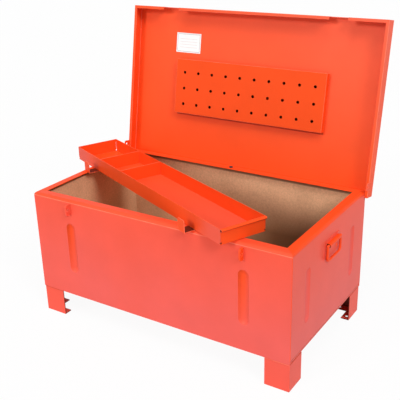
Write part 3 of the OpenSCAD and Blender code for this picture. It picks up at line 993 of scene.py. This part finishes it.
@dataclass
class Legs(Assembly):
    """The four angle legs, one of them with a painted highlight along its top."""

    nodes: Names = ("leg_front_left", "leg_front_right", "leg_rear_left", "leg_rear_right")
    bend: float = 0.0012
    seam: float = 0.003
    # Share left without the painted sheen, painted shade inside and in the seam, and the leg with a painted
    # highlight
    fresh: float = 0.3
    inside_dirt: float = 1.7
    inside_from: float = 0.5
    seam_dirt: float = 0.6
    rubbed: str = "leg_front_right"
    rub: float = 0.9

    def build(self) -> None:
        """Builds the legs with rounded bends, painted shade inside and in a seam under the panels, and a
        painted highlight on one.
        """
        for node in self.nodes:
            shape = Shape(node)
            shape.mark(shape.shelter, self.fresh)
            shape.soften(self.bend, highlighted=False)
            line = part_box(node)[1][2] - self.seam
            shape.cut(line)
            in_seam = above(line)
            shape.mark(shape.crevice, self.inside_dirt, self.is_inside)
            shape.mark(shape.crevice, self.seam_dirt, in_seam)
            # On this leg the front of the seam gets a painted highlight instead of painted shade
            if node == self.rubbed:
                shape.mark(shape.crevice, 0.0, lambda f: looks(f, FRONT))
                shape.mark(shape.edge, self.rub, lambda f: looks(f, FRONT) and in_seam(f))
            shape.place(Body.BASE, SHEENED_PAINT)

    def is_inside(self, face: BMFace) -> bool:
        """Tells whether a face of a leg looks in under the box."""
        at = face.calc_center_median()
        inwards = Vector((-math.copysign(1.0, at.x), -math.copysign(1.0, at.y), 0.0))
        return face.normal.dot(inwards) > self.inside_from


@dataclass
class Handles(Assembly):
    """The two riveted drop handles."""

    plates: Names = ("handle_plate_left", "handle_plate_right")
    plate_face: float = 0.457
    plate_round: float = 0.0007
    barrel_dirt: float = 1.8
    fittings: tuple[Fitting, ...] = (
        Fitting(("handle_rivets",), Body.BASE, NO_SHEEN_PAINT, 0.0012, segments=4),
        Fitting(("handle_bail_left",), Body.BAIL_LEFT, NO_SHEEN_PAINT, 0.0005, angle=50.0),
        Fitting(("handle_bail_right",), Body.BAIL_RIGHT, NO_SHEEN_PAINT, 0.0005, angle=50.0),
    )

    def build(self) -> None:
        """Builds plates, whose barrels are left without the painted sheen and get painted shade on their
        ends, then rivets and bails.
        """
        for node in self.plates:
            shape = Shape(node)
            shape.soften(self.plate_round, highlighted=False)
            shape.mark(shape.shelter, 1.0, self.on_barrel)
            shape.mark(shape.crevice, self.barrel_dirt,
                       lambda f: self.on_barrel(f) and (looks(f, FRONT) or looks(f, -FRONT)))
            shape.place(Body.BASE, SHEENED_PAINT)
        super().build()

    def on_barrel(self, face: BMFace) -> bool:
        """Tells whether a face stands out from the plate, on the barrel."""
        return abs(face.calc_center_median().x) > self.plate_face + NEAR


@dataclass
class Hinges(Assembly):
    """The two hinges behind the lid: leaves, pins and rivets."""

    fittings: tuple[Fitting, ...] = (
        Fitting(("hinge_leaf_left", "hinge_leaf_right"), Body.BASE, NO_SHEEN_PAINT, 0.0005),
        Fitting(("hinge_rivets",), Body.BASE, NO_SHEEN_PAINT, 0.0012, segments=4),
        Fitting(("hinge_pin_left", "hinge_pin_right"), Body.BASE, ZINC, 0.0007, segments=3),
        Fitting(("lid_hinge_leaf_left", "lid_hinge_leaf_right"), Body.LID, NO_SHEEN_PAINT, 0.0005),
        Fitting(("lid_hinge_rivets",), Body.LID, NO_SHEEN_PAINT, 0.0009, segments=4),
    )


@dataclass
class Lid(Assembly):
    """The lid's shell, tool panel, card and ears."""

    bend_round: float = 0.0018
    bend_length: float = 0.3
    edge_round: float = 0.0006
    edge_angle: float = 40.0
    fade_left: float = 0.25
    panel_round: float = 0.0016
    panel_inset: float = 0.005
    panel_line: float = 0.008
    panel_dirt: float = 0.8
    hole_edge: float = 0.012
    card_round: float = 0.00015
    fittings: tuple[Fitting, ...] = (
        Fitting(("lid_ear_left", "lid_ear_right"), Body.LID, NO_SHEEN_PAINT, 0.0006),
    )

    def build(self) -> None:
        """Builds every piece."""
        self.shell()
        self.panel()
        self.card()
        super().build()

    def shell(self) -> None:
        """Rounds the shell's bends and hem, and paints a pale sheen on it that grows towards the top and the
        right.
        """
        shape = Shape("lid_shell")
        shape.soften(self.bend_round, lambda e: e.calc_length() > self.bend_length, segments=4)
        shape.soften(self.edge_round, angle=self.edge_angle)
        self.shade_panel(shape)
        # Painted pale sheen, growing towards the top and the right
        for loop, across, rise in shape.shares():
            loop[shape.shelter] = 1.0 - rise * (self.fade_left + (1.0 - self.fade_left) * across)
        shape.place(Body.LID, LID_PAINT)

    def shade_panel(self, shape: Shape) -> None:
        """Paints the sheet behind the tool panel black as shade, and paints a shadow line along the panel's
        lower edge.

        Args:
            shape: The shell.
        """
        low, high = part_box("tool_panel")
        left, right = low[0] + self.panel_inset, high[0] - self.panel_inset
        foot, hidden, head = low[2] - self.panel_line, low[2] + self.panel_inset, high[2] - self.panel_inset
        shape.cut(low[0], left, right, high[0], along=RIGHT)
        shape.cut(foot, hidden, head)

        def behind(face: BMFace, ends: Pair, heights: Pair) -> bool:
            """Tells whether a face of the sheet's front lies between two ends and two heights."""
            at = face.calc_center_median()
            return looks(face, FRONT) and ends[0] < at.x < ends[1] and heights[0] < at.z < heights[1]

        shape.mark(shape.crevice, HOLE, lambda f: behind(f, (left, right), (hidden, head)))
        shape.mark(shape.crevice, self.panel_dirt, lambda f: behind(f, (low[0], high[0]), (foot, hidden)))

    def panel(self) -> None:
        """Rounds the tool panel's bends and paints its holes black as shade."""
        shape = Shape("tool_panel")
        shape.mark(shape.crevice, HOLE, lambda f: max(e.calc_length() for e in f.edges) < self.hole_edge)
        shape.soften(self.panel_round, lambda e: e.calc_length() > self.hole_edge, segments=3)
        shape.place(Body.LID, PANEL_PAINT)

    def card(self) -> None:
        """Softens the card and lays a map from corner to corner over it."""
        shape = Shape("label_card")
        shape.soften(self.card_round)
        chart = shape.mesh.loops.layers.uv.new(CARD_MAP)
        for loop, across, rise in shape.shares():
            loop[chart].uv = (across, rise)
        shape.place(Body.LID, CARD)


@dataclass
class Tray(Assembly):
    """The loose tray, its dividers and its hooks.

    The corner is the left end's near, lower one. Along is the way to the right end, and across the way to
    the back. A relief hole is given by its inset from the side, its height above the floor and its radius.
    Lengths of the painted sheen on the near wall's ends are from an end.
    """

    corner: Point = (-0.537, 0.0545, 0.4293)
    along: Point = (0.9135, -0.4067, 0.0)
    across: Point = (0.4067, 0.9135, 0.0)
    length: float = 0.881
    width: float = 0.15
    top: float = 0.4753
    sheet: float = 0.0015
    hem: float = 0.009
    bore: float = 0.0032
    hem_shade: float = 0.0025
    # Painted shadow line under the hem
    hem_dirt: float = 0.9
    relief: Point = (0.002, 0.0035, 0.003)
    # Painted pale sheen on the near wall's ends, and over the floor more and more to the right
    worn: Pair = (0.05, 0.13)
    floor_wear: float = 0.85
    edge_round: float = 0.0005
    hook_round: float = 0.0006
    # Painted shade on the top of the hooks' feet
    hook_dirt: float = 1.75
    hooks: Names = ("tray_hook_left", "tray_hook_right")
    dividers: Names = ("tray_divider_left", "tray_divider_right")

    def build(self) -> None:
        """Builds the pan, hooks with painted shade on the foot, and dividers, hooks and dividers left without
        the painted sheen.
        """
        self.pan()
        for nodes, width in ((self.hooks, self.hook_round), (self.dividers, self.edge_round)):
            for node in nodes:
                shape = Shape(node)
                shape.soften(width)
                shape.mark(shape.shelter, 1.0)
                if node in self.hooks:
                    shape.mark(shape.crevice, self.hook_dirt, self.is_foot)
                shape.place(Body.TRAY, TRAY_PAINT)

    @property
    def axes(self) -> Matrix:
        """Returns the ways along the tray, across it and up, as rows."""
        return Matrix((self.along, self.across, UP))

    def local(self, point: Vector) -> Vector:
        """Returns how far along, across and up from the tray's corner a point is."""
        return self.axes @ (point - Vector(self.corner))

    def pan(self) -> None:
        """Softens the pan, paints shade in its holes, its hem's bore and the line under the hem, and paints a
        pale sheen on it.
        """
        shape = Shape("tray_pan")
        shape.soften(self.edge_round)
        shape.cut(self.top - self.hem - self.hem_shade)
        shape.mark(shape.crevice, self.hem_dirt, self.under_hem)
        shape.mark(shape.crevice, HOLE, lambda f: self.in_bore(f) or self.in_relief(f))
        self.wear(shape)
        shape.place(Body.TRAY, TRAY_PAINT)

    def wear(self, shape: Shape) -> None:
        """Paints a pale sheen on both ends of the near wall's outer face, and on the floor more and more
        towards its right end.

        Args:
            shape: The pan.
        """
        along, across, _ = self.axes
        start, stop = self.worn
        places = (start, stop, self.length - start, self.length - stop)
        shape.cut(*places, along=along, start=self.corner)
        for face in shape.mesh.faces:
            centre = self.local(face.calc_center_median())
            is_floor = looks(face, UP) and centre.z < self.hem
            is_near_wall = looks(face, -across) and centre.y < NEAR
            for loop in face.loops:
                run = self.local(loop.vert.co).x
                loop[shape.shelter] = 1.0
                if is_floor:
                    loop[shape.shelter] = 1.0 - self.floor_wear * run / self.length
                elif is_near_wall:
                    inwards = (min(run, self.length - run) - start) / (stop - start)
                    loop[shape.shelter] = min(max(inwards, 0.0), 1.0)

    def under_hem(self, face: BMFace) -> bool:
        """Tells whether a face is on the right end wall's outside, close below the hem."""
        run = self.local(face.calc_center_median()).x
        low = self.top - self.hem
        heights = [v.co.z for v in face.verts]
        close = min(heights) > low - self.hem_shade - TINY and max(heights) < low + self.hem / 2
        return close and looks(face, self.axes[0]) and run > self.length - NEAR

    def in_bore(self, face: BMFace) -> bool:
        """Tells whether a face is inside the rolled hem."""
        run, height = self.length + self.hem / 2 - self.sheet, self.top - self.hem / 2
        return all(math.hypot(self.local(v.co).x - run, v.co.z - height) < self.bore for v in face.verts)

    def in_relief(self, face: BMFace) -> bool:
        """Tells whether a face is in the small hole at the foot of a corner's slit."""
        inset, height, radius = self.relief
        for at in (self.local(v.co) for v in face.verts):
            near = min(abs(at.y - inset), abs(self.width - inset - at.y))
            if math.hypot(near, at.z - self.sheet - height) > radius:
                return False
        return True

    def is_foot(self, face: BMFace) -> bool:
        """Tells whether a face is the top of a hook's foot."""
        return looks(face, UP) and self.local(face.calc_center_median()).z < NEAR


@dataclass(frozen=True)
class Viewpoint:
    """A camera given by its place, its turn in degrees and its focal length in picture pixels."""

    place: Point
    azimuth: float
    elevation: float
    roll: float
    focal: float
    sensor: float = 36.0

    def build(self) -> None:
        """Makes the camera the scene's own."""
        # Without a turn, a camera looks straight down
        turns = ((self.azimuth, "Z"), (90.0 - self.elevation, "X"), (-self.roll, "Z"))
        matrix = Matrix.Translation(self.place)
        for angle, axis in turns:
            matrix = matrix @ Matrix.Rotation(math.radians(angle), 4, axis)
        data = bpy.data.cameras.new("photo_camera")
        data.sensor_width = self.sensor
        data.lens = self.focal * self.sensor / PICTURE
        camera = bpy.data.objects.new("photo_camera", data)
        camera.matrix_world = matrix
        bpy.context.scene.collection.objects.link(camera)
        bpy.context.scene.camera = camera


@dataclass(frozen=True)
class Sun:
    """A wide, soft sun: where it stands, its strength and its angle in degrees."""

    name: str
    towards: Point
    strength: float
    angle: float

    def build(self) -> None:
        """Adds the lamp."""
        data = bpy.data.lights.new(self.name, "SUN")
        data.energy = self.strength
        data.angle = math.radians(self.angle)
        lamp = bpy.data.objects.new(self.name, data)
        lamp.rotation_euler = (-Vector(self.towards)).to_track_quat("-Z", "Y").to_euler()
        bpy.context.scene.collection.objects.link(lamp)


@dataclass
class Studio:
    """The pale floor, the soft light, the white surround and the camera."""

    floor_radius: float = 40.0
    floor_sides: int = 64
    floor_colour: Colour = (0.75, 0.75, 0.75)
    floor_glow: float = 0.94
    sky: float = 0.1
    overhead: float = 0.4
    overhead_from: Point = (0.0, -0.4, 0.917)
    suns: tuple[Sun, ...] = (Sun("key_light", (-0.3, -0.82, 0.42), 1.12, 14.0),
                             Sun("side_fill", (0.78, -0.4, 0.65), 1.58, 18.0),
                             Sun("top_light", (0.15, -0.35, 1.0), 1.15, 25.0))
    viewpoint: Viewpoint = Viewpoint((1.1597, -1.759, 1.2544), 33.1951, 22.1666, 1.61, 719.91)

    def build(self) -> None:
        """Builds the whole set."""
        bpy.context.scene.view_settings.view_transform = "Standard"
        self.floor()
        self.surround()
        for sun in self.suns:
            sun.build()
        self.viewpoint.build()

    def floor(self) -> None:
        """Lays a round pale floor that shows nearly white and still takes shadows."""
        bm = bmesh.new()
        bmesh.ops.create_circle(bm, cap_ends=True, segments=self.floor_sides, radius=self.floor_radius)
        mesh = bpy.data.meshes.new("floor")
        bm.to_mesh(mesh)
        bm.free()
        material = bpy.data.materials.new("pale_floor")
        material.use_nodes = True
        g = Graph(material.node_tree)
        path = g.add("ShaderNodeLightPath").outputs
        seen = g.math("MAXIMUM", path["Is Camera Ray"], path["Is Glossy Ray"])
        matt = g.add("ShaderNodeBsdfDiffuse", Color=self.floor_colour)
        glow = g.add("ShaderNodeEmission", Color=WHITE, Strength=1.0)
        g.show(g.times(seen, self.floor_glow), matt, glow, "ShaderNodeOutputMaterial")
        mesh.materials.append(material)
        floor = bpy.data.objects.new("floor", mesh)
        bpy.context.scene.collection.objects.link(floor)

    def surround(self) -> None:
        """Sets a soft sky that shows white to the camera and in reflections."""
        world = bpy.data.worlds.new("studio")
        bpy.context.scene.world = world
        world.use_nodes = True
        g = Graph(world.node_tree)
        path = g.add("ShaderNodeLightPath").outputs
        seen = g.math("MAXIMUM", path["Is Camera Ray"], path["Is Glossy Ray"])
        seen = g.math("MAXIMUM", seen, path["Is Transmission Ray"])
        facing = g.add("ShaderNodeVectorMath", operation="DOT_PRODUCT")
        g.feed(g.add("ShaderNodeTexCoord").outputs["Generated"], facing.inputs[0])
        facing.inputs[1].default_value = self.overhead_from
        glow = g.times(g.math("MAXIMUM", facing.outputs["Value"], 0.0), self.overhead)
        soft = g.add("ShaderNodeBackground", Color=WHITE, Strength=g.math("ADD", glow, self.sky))
        white = g.add("ShaderNodeBackground", Color=WHITE, Strength=1.0)
        g.show(seen, soft, white, "ShaderNodeOutputWorld")


def dress_nodes(frame: dict) -> None:
    """Gives every CAD node the finish of its record slot.
    """
    for part in frame["record"]["subparts"]:
        mesh = frame["nodes"][part["node"]].data
        mesh.materials.clear()
        mesh.materials.append(BY_SLOT[part["material_slot"]].material())


def main() -> None:
    """Loads the frame and builds the sub-assemblies in order."""
    logging.basicConfig(level=logging.INFO, format="%(message)s")
    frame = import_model()
    dress_nodes(frame)
    for part in (Studio(), Carcass(), Legs(), Handles(), Hinges(), Lid(), Tray()):
        part.build()


if __name__ == "__main__":
    main()
